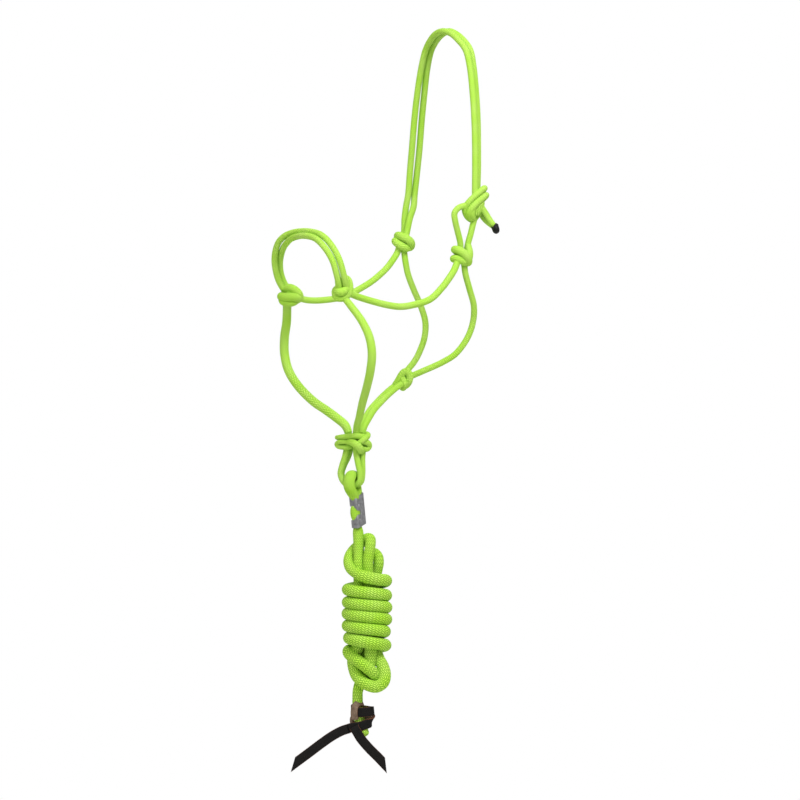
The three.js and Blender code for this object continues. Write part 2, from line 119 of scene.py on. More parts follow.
def smooth(points, step, extra=None):
    """A centripetal Catmull-Rom curve through the points, at equal steps. extra is carried along."""
    p = rows(points)
    data = p if extra is None else np.column_stack([p, rows(extra).reshape(len(p), -1)])
    data = np.vstack([2 * data[0] - data[1], data, 2 * data[-1] - data[-2]])
    knots = np.concatenate(
        [[0], np.cumsum(np.sqrt(np.linalg.norm(np.diff(data[:, :3], axis=0), axis=1)))]
    )
    out = []
    for i in range(1, len(data) - 2):
        t0, t1, t2, t3 = knots[i - 1 : i + 3]
        t = np.linspace(t1, t2, 24, endpoint=False)[:, None]
        p0, p1, p2, p3 = data[i - 1 : i + 3]
        a1 = (t1 - t) / (t1 - t0) * p0 + (t - t0) / (t1 - t0) * p1
        a2 = (t2 - t) / (t2 - t1) * p1 + (t - t1) / (t2 - t1) * p2
        a3 = (t3 - t) / (t3 - t2) * p2 + (t - t2) / (t3 - t2) * p3
        b1 = (t2 - t) / (t2 - t0) * a1 + (t - t0) / (t2 - t0) * a2
        b2 = (t3 - t) / (t3 - t1) * a2 + (t - t1) / (t3 - t1) * a3
        out.append((t2 - t) / (t2 - t1) * b1 + (t - t1) / (t2 - t1) * b2)
    fine = np.vstack([*out, data[-2][None]])
    along = np.concatenate([[0], np.cumsum(np.linalg.norm(np.diff(fine[:, :3], axis=0), axis=1))])
    at = np.linspace(0, along[-1], max(3, int(round(along[-1] / step)) + 1))
    even = np.stack([np.interp(at, along, fine[:, k]) for k in range(fine.shape[1])], axis=1)
    return (even[:, :3], None) if extra is None else (even[:, :3], even[:, 3:])


def frames_along(line):
    """Tangents of a line, and two directions across it that don't twist."""
    tangent = np.gradient(line, axis=0)
    tangent /= np.linalg.norm(tangent, axis=1)[:, None]
    side = np.zeros_like(line)
    first = np.cross(tangent[0], UP if abs(tangent[0][2]) < 0.9 else RIGHT)
    side[0] = first / np.linalg.norm(first)
    for i in range(1, len(line)):
        v = side[i - 1] - (side[i - 1] @ tangent[i]) * tangent[i]
        side[i] = v / np.linalg.norm(v)
    return tangent, side, np.cross(tangent, side)


def length_of(line):
    """The length of a line."""
    return float(np.linalg.norm(np.diff(line, axis=0), axis=1).sum())


# ------------------------------------------------------------------ braided rope

BRAID_ASPECT = 1.15  # a cell's length along the rope over its width round it


def braid_height(a, b):
    """How high the braid stands, 0 to 1: plaits pass over two and under two."""
    i, j = np.floor(a), np.floor(b)
    fa, fb = a - i, b - j
    k = np.mod(i + j, 4)
    over = np.sqrt(np.sin(np.pi * fa)) * (0.62 + 0.38 * np.sin(np.pi * (k + fb) / 2))
    under = np.sqrt(np.sin(np.pi * fb)) * (0.62 + 0.38 * np.sin(np.pi * (k - 2 + fa) / 2))
    return np.where(k < 2, over, under)


def add_mesh(name, vertices, faces, materials, body, smooth_faces=True):
    """A mesh object from points in millimetres that rides on a body."""
    mesh = bpy.data.meshes.new(name)
    mesh.from_pydata((np.asarray(vertices) * MM).tolist(), [], faces)
    for material in materials:
        mesh.materials.append(material)
    if smooth_faces:
        mesh.shade_smooth()
    obj = bpy.data.objects.new(name, mesh)
    bpy.context.scene.collection.objects.link(obj)
    if body:
        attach(obj, body)
    return obj


def rope(name, points, material, plaits, diameter=HALTER_ROPE, body="halter", step=1.25,
         sides=32, depth=0.14, widen=None):
    """A braided rope along points. diameter is one number, or one for each point.

    widen is (shares, direction): the section is wider by each point's share along the direction.
    """
    sizes = np.full(len(points), float(diameter)) if np.isscalar(diameter) else rows(diameter)
    shares = np.zeros(len(points)) if widen is None else rows(widen[0])
    line, extra = smooth(points, step, np.column_stack([sizes, shares]))
    wide, share = extra[:, 0], extra[:, 1]
    tangent, side, other = frames_along(line)
    n, long = len(line), length_of(line)
    s = np.linspace(0, long, n)
    angle = np.arange(sides) / sides * 2 * np.pi
    cell = np.pi * float(np.max(sizes)) / plaits * BRAID_ASPECT
    u = np.arange(sides) / sides
    a = plaits * u[None] + s[:, None] / cell
    b = s[:, None] / cell - plaits * u[None]
    radius = wide[:, None] / 2 + depth * (braid_height(a, b) - 0.75)
    run = np.minimum(s, long - s)
    cap = np.clip(run / (0.35 * wide), 0, 1)
    radius *= np.sqrt(np.clip(1 - (1 - cap) ** 2, 0.0025, 1))[:, None]
    normal = np.cos(angle)[None, :, None] * side[:, None] + np.sin(angle)[None, :, None] * other[:, None]
    spread = normal * radius[..., None]
    if widen is not None:
        d = rows(widen[1]) / np.linalg.norm(widen[1])
        spread = spread + share[:, None, None] * (spread @ d)[..., None] * d
    ring = line[:, None] + spread
    vertices = np.vstack([ring.reshape(-1, 3), line[:1], line[-1:]])
    faces = []
    for i in range(n - 1):
        row = i * sides
        for k in range(sides):
            m = (k + 1) % sides
            faces.append((row + k, row + m, row + sides + m, row + sides + k))
    last = (n - 1) * sides
    for k in range(sides):
        m = (k + 1) % sides
        faces.append((n * sides, m, k))
        faces.append((n * sides + 1, last + k, last + m))
    obj = add_mesh(name, vertices, faces, [material], body)
    layer = obj.data.uv_layers.new(name="braid")
    loops = np.zeros(len(obj.data.loops), np.int32)
    obj.data.loops.foreach_get("vertex_index", loops)
    which = np.minimum(loops, n * sides - 1)
    uv = np.stack([(which % sides) / sides, s[which // sides] / cell], axis=1)
    counts = np.zeros(len(obj.data.polygons), np.int32)
    obj.data.polygons.foreach_get("loop_total", counts)
    starts = np.concatenate([[0], np.cumsum(counts)[:-1]])
    quads = counts == 4
    for corner in (1, 2):
        at = starts[quads] + corner
        wrap = uv[at, 0] < 0.5 / sides
        uv[at[wrap], 0] = 1.0
    layer.data.foreach_set("uv", uv.astype(np.float32).ravel())
    return obj, line


# ------------------------------------------------------------------ materials


class Node:
    """A shader value that can be added, multiplied and so on."""

    def __init__(self, tree, socket):
        self.tree, self.socket = tree, socket

    def math(self, operation, *others):
        """A Math node that takes this value and the others."""
        node = self.tree.nodes.new("ShaderNodeMath")
        node.operation = operation
        for i, value in enumerate((self, *others)):
            if isinstance(value, Node):
                self.tree.links.new(value.socket, node.inputs[i])
            else:
                node.inputs[i].default_value = value
        return Node(self.tree, node.outputs[0])

    def __add__(self, other):
        return self.math("ADD", other)

    def __sub__(self, other):
        return self.math("SUBTRACT", other)

    def __mul__(self, other):
        return self.math("MULTIPLY", other)


def linear(colour):
    """A colour from its 0 to 255 screen values."""
    share = [c / 255 for c in colour]
    return [c / 12.92 if c <= 0.04045 else ((c + 0.055) / 1.055) ** 2.4 for c in share] + [1]


def new_material(name):
    """A material with a Principled shader, its tree and that shader."""
    material = bpy.data.materials.new(name)
    material.use_nodes = True
    tree = material.node_tree
    return material, tree, tree.nodes["Principled BSDF"]


def mix_colours(tree, share, first, second):
    """A colour between two, each a colour or a socket."""
    node = tree.nodes.new("ShaderNodeMix")
    node.data_type = "RGBA"
    tree.links.new(share.socket, node.inputs[0])
    for socket, value in ((node.inputs[6], first), (node.inputs[7], second)):
        if isinstance(value, (list, tuple)):
            socket.default_value = value
        else:
            tree.links.new(value, socket)
    return node.outputs[2]


def noise(tree, scale, detail=3.0, vector=None):
    """A noise value in object space."""
    node = tree.nodes.new("ShaderNodeTexNoise")
    node.inputs["Scale"].default_value = scale
    node.inputs["Detail"].default_value = detail
    if vector is None:
        vector = tree.nodes.new("ShaderNodeTexCoord").outputs["Object"]
    tree.links.new(vector, node.inputs["Vector"])
    return Node(tree, node.outputs["Fac"])


def bump(tree, shader, height, strength, distance):
    """Bump on a shader from a height value."""
    node = tree.nodes.new("ShaderNodeBump")
    node.inputs["Strength"].default_value = strength
    node.inputs["Distance"].default_value = distance
    tree.links.new(height.socket, node.inputs["Height"])
    tree.links.new(node.outputs["Normal"], shader.inputs["Normal"])


def rope_material(name, plaits, light, mid, groove_shade):
    """Braided polyester: the plaits' crowns carry a painted highlight and the grooves between them painted
    shade; in random worn patches the painted highlight is brighter.
    """
    material, tree, shader = new_material(name)
    uv = tree.nodes.new("ShaderNodeUVMap")
    uv.uv_map = "braid"
    split = tree.nodes.new("ShaderNodeSeparateXYZ")
    tree.links.new(uv.outputs["UV"], split.inputs[0])
    u, v = Node(tree, split.outputs[0]), Node(tree, split.outputs[1])
    a, b = u * plaits + v, v - u * plaits
    fa, fb = a.math("FRACT"), b.math("FRACT")
    k = (a.math("FLOOR") + b.math("FLOOR")).math("FLOORED_MODULO", 4.0)
    over = (fa * math.pi).math("SINE") * (((k + fb) * (math.pi / 2)).math("SINE") * 0.4 + 0.6)
    under = (fb * math.pi).math("SINE") * (((k - 2.0 + fa) * (math.pi / 2)).math("SINE") * 0.4 + 0.6)
    top = k.math("LESS_THAN", 1.5)
    height = over * top + under * (top * -1.0 + 1.0)
    yarn_a, yarn_b = (fa * (6 * math.pi)).math("SINE"), (fb * (6 * math.pi)).math("SINE")
    yarns = (yarn_a * top + yarn_b * (top * -1.0 + 1.0)) * 0.08
    patches = noise(tree, 38.0).math("MULTIPLY_ADD", 1.6, -0.5).math("MAXIMUM", 0.0).math("MINIMUM", 1.0)
    # crowns masks the painted highlight on the crowns against the painted shade in the grooves; it also sets
    # the roughness.
    crowns = height.math("POWER", 1.5)
    # Painted shade in the grooves and a painted highlight on the crowns, lighter still in random worn
    # patches.
    shaded_highlit_plaits = mix_colours(tree, crowns, linear(groove_shade), linear(mid))
    worn_shaded_highlit_plaits = mix_colours(tree, crowns, linear(groove_shade), linear(light))
    tree.links.new(mix_colours(tree, patches, shaded_highlit_plaits, worn_shaded_highlit_plaits), shader.inputs["Base Color"])
    rough = crowns * -0.12 + 0.78
    tree.links.new(rough.socket, shader.inputs["Roughness"])
    shader.inputs["Specular IOR Level"].default_value = 0.15
    fuzz = noise(tree, 1500.0, 2.0)
    bump(tree, shader, height + yarns + fuzz * 0.15, 0.6, 0.0005)
    return material


HALTER_PLAITS = 12
LEAD_PLAITS = 16
# Colours: the crowns' painted highlight in worn patches, the crowns' painted highlight elsewhere, and the
# grooves' painted shade.
halter_green = rope_material(
    "halter_rope_braid", HALTER_PLAITS, (236, 255, 150), (212, 252, 100), (108, 176, 8)
)
lead_green = rope_material(
    "lead_rope_braid", LEAD_PLAITS, (230, 255, 132), (204, 250, 76), (82, 150, 2)
)


def leather_material(name, dark, light, grain_scale, rough, depth):
    """Leather: a mottled colour and a fine pebbled grain."""
    material, tree, shader = new_material(name)
    grain = tree.nodes.new("ShaderNodeTexVoronoi")
    grain.inputs["Scale"].default_value = grain_scale
    tree.links.new(tree.nodes.new("ShaderNodeTexCoord").outputs["Object"], grain.inputs["Vector"])
    cells = Node(tree, grain.outputs["Distance"])
    mottle = noise(tree, 160.0, 6.0)
    shade = (mottle * 1.7 - 0.35).math("MAXIMUM", 0.0).math("MINIMUM", 1.0)
    tree.links.new(mix_colours(tree, shade, linear(dark), linear(light)), shader.inputs["Base Color"])
    tree.links.new((cells * 0.25 + rough).socket, shader.inputs["Roughness"])
    shader.inputs["Specular IOR Level"].default_value = 0.2
    bump(tree, shader, cells + noise(tree, 900.0, 4.0) * 0.6, 0.5, depth)
    return material


leather_face = leather_material("leather_face", (7, 6, 5), (18, 14, 12), 1400.0, 0.6, 0.0002)
leather_edge = leather_material("leather_edge", (58, 32, 20), (104, 66, 46), 900.0, 0.8, 0.0003)
leather_suede = leather_material("leather_suede", (92, 74, 60), (140, 120, 102), 700.0, 0.85, 0.0006)


def zinc_material():
    """Zinc plated sheet: dull, spangled and lightly scuffed."""
    material, tree, shader = new_material("clamp_zinc")
    spangle = tree.nodes.new("ShaderNodeTexVoronoi")
    spangle.inputs["Scale"].default_value = 420.0
    tree.links.new(tree.nodes.new("ShaderNodeTexCoord").outputs["Object"], spangle.inputs["Vector"])
    patch = noise(tree, 300.0, 5.0)
    colour = mix_colours(tree, (patch * 1.8 - 0.4).math("MAXIMUM", 0.0).math("MINIMUM", 1.0),
                         linear((120, 120, 122)), linear((178, 178, 180)))
    tree.links.new(colour, shader.inputs["Base Color"])
    shader.inputs["Metallic"].default_value = 0.85
    tree.links.new((Node(tree, spangle.outputs["Distance"]) * 0.35 + 0.36).socket, shader.inputs["Roughness"])
    bump(tree, shader, patch + noise(tree, 1800.0, 2.0) * 0.4, 0.35, 0.0002)
    return material


zinc = zinc_material()


def cap_material():
    """Shrunk-on black plastic with faint wrinkles."""
    material, tree, shader = new_material("cap_black")
    wrinkles = noise(tree, 420.0, 4.0)
    colour = mix_colours(tree, wrinkles, linear((3, 3, 3)), linear((11, 11, 10)))
    tree.links.new(colour, shader.inputs["Base Color"])
    tree.links.new((wrinkles * 0.25 + 0.4).socket, shader.inputs["Roughness"])
    shader.inputs["Specular IOR Level"].default_value = 0.28
    bump(tree, shader, wrinkles, 0.5, 0.0004)
    return material


cap_black = cap_material()

# ------------------------------------------------------------------ the lead's route

EYE = [(-6.6, 13.6, -599.6), (-6.6, 12.6, -594.4), (-6.6, 9.6, -590.0), (-6.6, 5.2, -587.0)]
BELOW_EYE = [(-5.4, 12.4, -605.2), (-3.8, 9.4, -609.6), (-2.0, 5.6, -614.6)]


def across(points):
    """The same points on the other side of the lead's middle plane."""
    return [(x, -y, z) for x, y, z in points]


HANK_MIDDLE = 14.0  # how far the hank's middle is from the lead's axis
HANK_DEPTH = 23.0  # half the depth of a wrap, at its centreline
FIRST_WRAP = -726.0  # height where the full wraps begin
LAST_WRAP = -820.0  # height where they end
WRAP_POINTS = 8  # points in half a turn
WRAPS = [  # (height at its left end, height at its right end, half its width)
    (-738, -745.5, 25.6), (-755, -761.5, 25.6), (-770, -777.5, 26),
    (-786, -793.5, 25.8), (-802, -811.5, 23.8),
]


def hank_wraps():
    """The five full wraps, from the right end of the first part wrap to the left end of the last."""
    points = []
    right = FIRST_WRAP
    for left, next_right, half in WRAPS:
        for start, low, high in ((0, right, left), (180, left, next_right)):
            for i in range(WRAP_POINTS):
                share = i / WRAP_POINTS
                turn = math.radians(start + 180 * share)
                eased = share - math.sin(2 * math.pi * share) / (2 * math.pi) * 0.3
                points.append((
                    HANK_MIDDLE + half * math.cos(turn),
                    HANK_DEPTH * math.sin(turn),
                    low + (high - low) * eased,
                ))
        right = next_right
    for i in range(WRAP_POINTS):
        share = i / WRAP_POINTS
        turn = math.radians(180 * share)
        points.append((
            HANK_MIDDLE + (24.5 + share) * math.cos(turn),
            HANK_DEPTH * math.sin(turn),
            right + (LAST_WRAP - right) * share,
        ))
    return points


LEAD_ROUTE = [
    (3.8, 3.0, -646), (2.6, 3.0, -634), (0.6, 3.4, -622), *reversed(BELOW_EYE), *EYE,
    (-6.6, 0, -586.0), *reversed(across(EYE)), *across(BELOW_EYE), (-0.6, -3.4, -622), (0.6, -3.0, -634),
    (0.8, -1, -650), (1.6, 0, -662), (2.4, -1, -672), (3.5, -3, -690),
    (4.4, -7.3, -706), (6.0, -7.4, -724), (6.7, -7.4, -745), (6.7, -7.4, -770), (6.7, -7.4, -795),
    (4.5, -7, -812), (-1.0, -4, -823), (-4.2, -3, -832.6), (-2.4, -5, -842.5), (3.6, -9, -854),
    (15.8, -11, -863.5), (30.0, -9.5, -867.4), (38.6, -6, -861.5), (40.0, -3, -851), (36.6, -1, -840.6),
    (30.4, 1, -831), (25.5, 4, -821), (21.5, 7.2, -808), (21.3, 7.4, -790), (21.3, 7.4, -765),
    (21.3, 7.4, -740), (22.6, 7.4, -724), (26.6, 6, -712), (28.6, 5.2, -703), (27.2, 6.2, -695),
    (21.5, 8.2, -690), (14, 9, -690.5), (8.6, 8.2, -697), (6.8, 7.4, -710), (6.7, 7.4, -735),
    (6.7, 7.4, -765), (6.7, 7.4, -795), (6.9, 7.2, -828), (8.4, 5.6, -838),
    (11.5, 2.6, -845), (14, 0, -847),
    (16.5, -2.6, -845), (19.6, -5.6, -838), (21.1, -7.2, -828), (21.3, -7.4, -795), (21.3, -7.4, -765),
    (20.4, -7.4, -738),
    (18.2, -7.4, -716), (17.8, -7.2, -702), (19.2, -6.2, -688), (20.4, -4.4, -678), (18.6, 0, -671.5),
    (13, 5, -670.5), (6, 8.4, -674.5), (-1.5, 9, -680.5), (-7.6, 6.4, -687), (-10.6, 1.5, -694),
    (-10.2, -4.5, -701.5), (-5.2, -12, -710), (4.4, -18.6, -716.5), (15.5, -22.4, -720.5),
    (27.5, -19.8, -723.5), (36.2, -11.4, -725.4),
    *hank_wraps(),
    (-11.5, 0, -820), (-8.4, -7.2, -823.6), (-0.6, -12.6, -828.6),
    (9.2, -15.4, -834.8), (18.2, -13.8, -841.4),
    (25.0, -8.0, -848.6), (27.0, 1.0, -856), (22.0, 7.4, -861), (12.0, 8.0, -862), (4.0, 5.0, -864),
    (1.2, 1, -872), (0.8, 0.3, -886), (1.3, 0, -901), (3.6, 0, -912), (7.4, 0, -923), (11.5, 0, -934),
]


def lead_sizes():
    """The lead is squeezed in its clamp, drawn tight round the loops and swollen in the hank."""
    sizes = []
    for _, _, z in LEAD_ROUTE:
        if z < -868:
            sizes.append(LEAD_ROPE)
        elif z < -720:
            sizes.append(LEAD_IN_HANK)
        elif z < -655:
            sizes.append(LEAD_ROPE)
        elif z < -618:
            sizes.append(LEAD_IN_CLAMP)
        else:
            sizes.append(LEAD_IN_EYE)
    return sizes


def lead_widths():
    """How much wider the lead lies across the loops, where it bends round them."""
    return [0.0 if z < -618 else (0.12 if z < -612 else 0.3) for _, _, z in LEAD_ROUTE]


lead_rope, lead_line = rope(
    "lead_rope", in_lead(LEAD_ROUTE), lead_green, LEAD_PLAITS, lead_sizes(), "lead",
    step=1.2, sides=48, depth=0.2,
    widen=(lead_widths(), (math.cos(LEAD_TURN), math.sin(LEAD_TURN), 0)),
)
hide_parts("lead_eye", "lead_splice", "lead_standing", "lead_hank", "lead_tail")

# ------------------------------------------------------------------ the halter's strands


def strand(name, points, diameter=HALTER_ROPE, stands_for=(), **options):
    """A stretch of the halter's rope."""
    obj, line = rope(name, points, halter_green, HALTER_PLAITS, diameter, **options)
    if stands_for:
        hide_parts(*stands_for)
    return obj, line


CROWN_FRONT = [
    (-75.5, -16, -275), (-78.7, -10.5, -262), (-80.4, -8.7, -245), (-79.9, -6.5, -228),
    (-78.5, -4.2, -213), (-77.5, -1.9, -181),
    (-73.5, -1.2, -149), (-70.5, 0, -117), (-66, 1.2, -85), (-57, 3, -43), (-48, 3.5, -21), (-33, 2, -7),
    (-18, 0.7, 1), (0, 0.3, 4.25), (18, 1, 1), (33, 2, -7), (50, 3.5, -21),
    (60, 3.5, -43), (69.5, 2.5, -85),
    (74.5, 1.5, -117), (77.5, 0.5, -149), (80, -1, -181), (81, -2, -212), (80, -1, -222),
]
CROWN_REAR = [
    (-67.5, -17, -275), (-69.2, -12.1, -262), (-70.7, -6.8, -245), (-74.2, 1.8, -228),
    (-78, 5.6, -213), (-77, 9.2, -181),
    (-73.5, 10.8, -149), (-70.5, 11.8, -117), (-66, 12.5, -85), (-57, 12.5, -43), (-48, 12.5, -21),
    (-33, 11, -8), (-18, 10, 0), (0, 9.8, 4.25), (18, 10, 0), (33, 11, -8),
    (47, 12.5, -21), (55, 12.5, -43),
    (63, 12, -85), (67.5, 11, -117), (70.5, 9.5, -149), (73.5, 7.5, -181), (74, 6, -212), (75, 5, -222),
]
strand("crown_rope_front", CROWN_FRONT, 8.5, ["crown_strand_front"])
strand("crown_rope_rear", CROWN_REAR, 8.5, ["crown_strand_rear"])

NOSEBAND_HALF = [
    (0, -220.3, -266), (29.3, -220.3, -268.8), (43.3, -220.7, -273.4), (54.7, -220.5, -280),
    (65.3, -218.4, -290.6), (72.3, -215.7, -303), (74.8, -212.5, -316.5), (74, -208.6, -328.5),
    (70, -203, -341),
]
NOSEBAND_OFFSETS = [
    (1.4, -4.4, 0), (1.4, -4.4, 0), (1.4, -4.4, 0), (0.5, -4.5, 0.5), (-0.7, -4.3, 1.2), (-1.5, -3.2, 3),
    (-1.2, -1, 4.4), (-0.5, 1.9, 4.2), (0, 3.6, 3), (0.8, 3.7, 2.6), (1.4, 3.7, 2.4), (2.2, 3.6, 2),
    (2.8, 3.5, 1.2), (3, 3.5, 0.3), (3, 3.5, 0), (2.8, 3.6, 0), (2.2, 4, 0),
]
NOSEBAND = np.vstack([mirrored(NOSEBAND_HALF)[::-1], rows(NOSEBAND_HALF)[1:]])
strand("noseband_rope_outer", NOSEBAND + rows(NOSEBAND_OFFSETS), stands_for=["noseband_strand_outer"])
strand("noseband_rope_inner", NOSEBAND - rows(NOSEBAND_OFFSETS), stands_for=["noseband_strand_inner"])

CHEEK_LEFT_ROUTE = [
    (66, -195, -344), (67, -178, -350), (70, -161, -355), (75, -136, -361),
    (77, -118, -363), (78, -100, -361),
    (78, -71, -353), (77, -52, -338), (76, -41, -326.5), (74, -31, -315), (71.5, -23, -302),
]
CHEEK_RIGHT_ROUTE = [
    (-66, -195, -349), (-68, -170, -354), (-72, -139, -353.5), (-74, -109, -349),
    (-75, -80, -337), (-75, -61, -326.5), (-74, -42, -311.5), (-73, -33, -301),
    (-72, -25, -289), (-71.5, -23, -281),
]
strand("cheek_rope_left", CHEEK_LEFT_ROUTE, 9.1, ["cheek_strand_left"])
strand("cheek_rope_right", CHEEK_RIGHT_ROUTE, 8.6, ["cheek_strand_right"])

CHIN_ROUTE = [
    (66, -202, -348), (77, -197, -361), (92.5, -188, -383), (104, -184, -404),
    (107, -182, -425), (100.5, -180, -447),
    (84.5, -175, -468), (60, -166, -489), (43, -158, -500), (27, -150.5, -511),
    (14, -145.5, -521), (8, -143.5, -533),
]
strand("chin_rope_left", CHIN_ROUTE,
       [9, 9.6, 10.4, 11.2, 11.4, 11.4, 11, 10.6, 10.2, 9.8, 9.2, 8.4], ["chin_strand_left"])
strand("chin_rope_right", mirrored(CHIN_ROUTE),
       [11, 11.4, 11.8, 12, 12, 12, 12, 12, 12, 12, 11.6, 10], ["chin_strand_right"])

THROAT_ROUTE = [
    (70, -10, -319), (68, -2, -340), (64.5, 7, -362), (58, 9.8, -383),
    (52.5, 4.7, -404), (45, -9.5, -425.5),
    (35, -23.5, -436.5), (20, -44, -448), (6, -57, -456),
]
strand("throat_rope_left", [(70, -17, -292), (70.5, -13, -304), *THROAT_ROUTE], 8.3, ["throat_strand_left"])
strand("throat_rope_right", np.vstack([[(-71, -17, -276), (-70.2, -14.5, -299)], mirrored(THROAT_ROUTE)]),
       8.3, ["throat_strand_right"])

JAW_ROUTE = [
    (4.5, -66, -464), (4.6, -78, -471), (4.6, -89, -479), (4.6, -101.5, -489.5),
    (4.6, -112.5, -500), (4.6, -120.5, -511), (4.6, -127, -521), (4.6, -132, -533),
]
strand("jaw_rope_left", JAW_ROUTE, 8.5, ["jaw_strand_left"])
strand("jaw_rope_right", mirrored(JAW_ROUTE), 8.5, ["jaw_strand_right"])

# ------------------------------------------------------------------ knots


def knot(node, *routes):
    """The rope of one knot: each route is (points, diameter). Every piece hides the node."""
    for i, (points, diameter) in enumerate(routes):
        strand(f"{node}_rope_{i + 1}", points, diameter, [node], step=1.1)


CHEEK_RIGHT = (-70.4, -17.6, -275)
CHEEK_LEFT = (69, -15.8, -294.2)
NOSE_RIGHT = (-64, -200, -347)
NOSE_LEFT = (64, -200, -340.5)
THROAT = (0, -61.6, -460)
TIE = (77, 1.5, -226)
FIADOR = (-0.4, -142.5, -542)

knot(
    "cheek_knot_right",
    (about(CHEEK_RIGHT, [
        (2.5, -2, -9.5), (-4.1, 4, -9), (-7, 7, -4), (-5.2, 7.4, 2.5), (-0.1, 5.7, 8), (5.9, 2.7, 9.4),
        (10, -1, 7.4), (10.8, -5.2, 3), (8.5, -8, -3.5), (2.5, -4.3, -8.5),
    ]), 10.8),
    (about(CHEEK_RIGHT, [
        (3, 3, -9.5), (-4.1, 0.4, -9.5), (-9.2, 0.6, -4.5), (-9.8, -0.6, 2),
        (-6, -3.9, 6.6), (0, -7.2, 7.6),
        (5, -9, 4.6), (6.4, -8, 0),
    ]), 10.8),
    (about(CHEEK_RIGHT, [(-4, 4, -1), (-1.5, 0, 0), (4, -4, -1)]), 13),
)
knot(
    "cheek_knot_left",
    (about(CHEEK_LEFT, [
        (4, 0, -9.5), (-3.1, 3.4, -9), (-8, 6.6, -4), (-8.2, 7.3, 1.5), (-4.4, 6.5, 6.6), (1.2, 3.8, 9.4),
        (6, -0.5, 9.2), (9.2, -5.7, 6.5), (8.7, -9.8, 1), (4.9, -7.7, -6),
    ]), 10.8),
    (about(CHEEK_LEFT, [(9.2, 15, -1), (9.9, 10, 1.5), (10.9, 4.4, 4), (10.6, -2.4, 4.5), (8.6, -8, 2)]),
     [7.6, 8.6, 9.4, 9.6, 9]),
    (about(CHEEK_LEFT, [
        (4, -4, -9), (-3, -3, -9), (-9, -4.5, -4), (-10, -5, 1.5), (-6, -4.8, 6.4), (-0.6, -6.8, 7.6),
        (3.6, -9, 5.5), (5, -10, 0),
    ]), 10.4),
    (about(CHEEK_LEFT, [(-4, 2, 0), (0, 0, 1), (5, -3, 0)]), 13.5),
)
knot(
    "nose_knot_right",
    (about(NOSE_RIGHT, [
        (2, 4, -9), (-6.6, 5, -8), (-6.4, 7.8, -2.5), (-1.2, 9, 3.2), (5, 6.6, 6.4), (10, 2, 5.6),
        (11.6, -2.8, 0.5), (7.4, -6.6, -6), (0, -5, -9),
    ]), 11.4),
    (about(NOSE_RIGHT, [
        (-2, -1, -9.5), (-9.6, -1.6, -5.5), (-12.3, -2.2, 0), (-9.4, -2.8, 5.2), (-3.8, -2.9, 9),
        (3.4, -2.9, 9.2), (9, -3.6, 5.4), (10.6, -5, -1),
    ]), 11.6),
    (about(NOSE_RIGHT, [
        (-8, -4, -6.5), (-11.4, -6.6, -2), (-9.8, -9.4, 2.6), (-3.8, -11.3, 5.4), (2.8, -10.6, 4.4),
        (6.4, -8, -1), (2, -6, -7.5),
    ]), 9.6),
    (about(NOSE_RIGHT, [(-6, 0, 0), (0, 0, 1), (7, -2, 0)]), 15),
)
knot(
    "nose_knot_left",
    (about(NOSE_LEFT, [
        (-2, 8, -9.5), (1.8, 13, -7), (4.9, 14.4, -2.4), (7.6, 11.4, 1.8), (9.2, 5, 4.2), (9, -2.4, 5.4),
        (5.4, -8.6, 6), (-1.6, -11.8, 6.4), (-7.6, -10.8, 5), (-10.2, -5.6, 2),
        (-9, 0, -3.5), (-2, 3, -8.6),
        (5, -2, -9.4), (6, -7, -4),
    ]), 9.4),
    (about(NOSE_LEFT, [
        (-7.4, 0, -1), (-7.4, -1.6, 4.4), (-5.2, -3.2, 8.8), (-1, -3.4, 10.8), (3, -0.4, 10), (5, 4.2, 6.4),
        (4.6, 8, 1),
    ]), [10.6, 11, 11.2, 11.2, 10, 8.6, 7.6]),
    (about(NOSE_LEFT, [(-8, 20, 1), (-6.6, 13.6, 3.6), (-6, 6.4, 6.4), (-5.4, 0, 8), (-4.4, -4, 7)]), 8.6),
    (about(NOSE_LEFT, [(-1, 17, 1), (0.6, 12, 1.6), (2, 6, 3.4), (2.4, 1, 5.6), (1, -3, 5)]), 8.2),
    (about(NOSE_LEFT, [(-5, -1, 0), (0, -2, 1), (5, -3, 0)]), 14),
)
knot(
    "throat_knot",
    (about(THROAT, [
        (-14, -8.6, 2.5), (-10.8, -4.8, 3.6), (-7.6, -0.1, 4.4), (-5, 4.4, 5.2),
        (-2.3, 8.3, 6), (1.4, 11, 6.2),
        (5.2, 10, 6.2), (7.4, 5.2, 6), (7, -0.3, 5.4), (4.7, -5.4, 2.6), (0.6, -8, -3.4), (-3, -3, -7.6),
        (1, 4, -8), (5, 5, -6),
    ]), [8.2, 8.6, 9, 9.2, 9.4, 9.6, 9.6, 9.6, 9.4, 9, 8.6, 8.6, 8.6, 8.4]),
    (about(THROAT, [
        (-1.4, 5.6, -1), (-2, 3.4, 4), (-1.2, -0.1, 7.2), (0.3, -4.7, 8.6),
        (0.2, -8.4, 5.6), (-1.8, -10.8, 0.4),
        (-4, -7, -5), (-4, 1, -7),
    ]), [8, 8, 8.2, 8.6, 8.6, 8.4, 8, 8]),
    (about(THROAT, [(-3, 3, -1), (0, 1, -1), (3, -3, -1)]), 12),
)
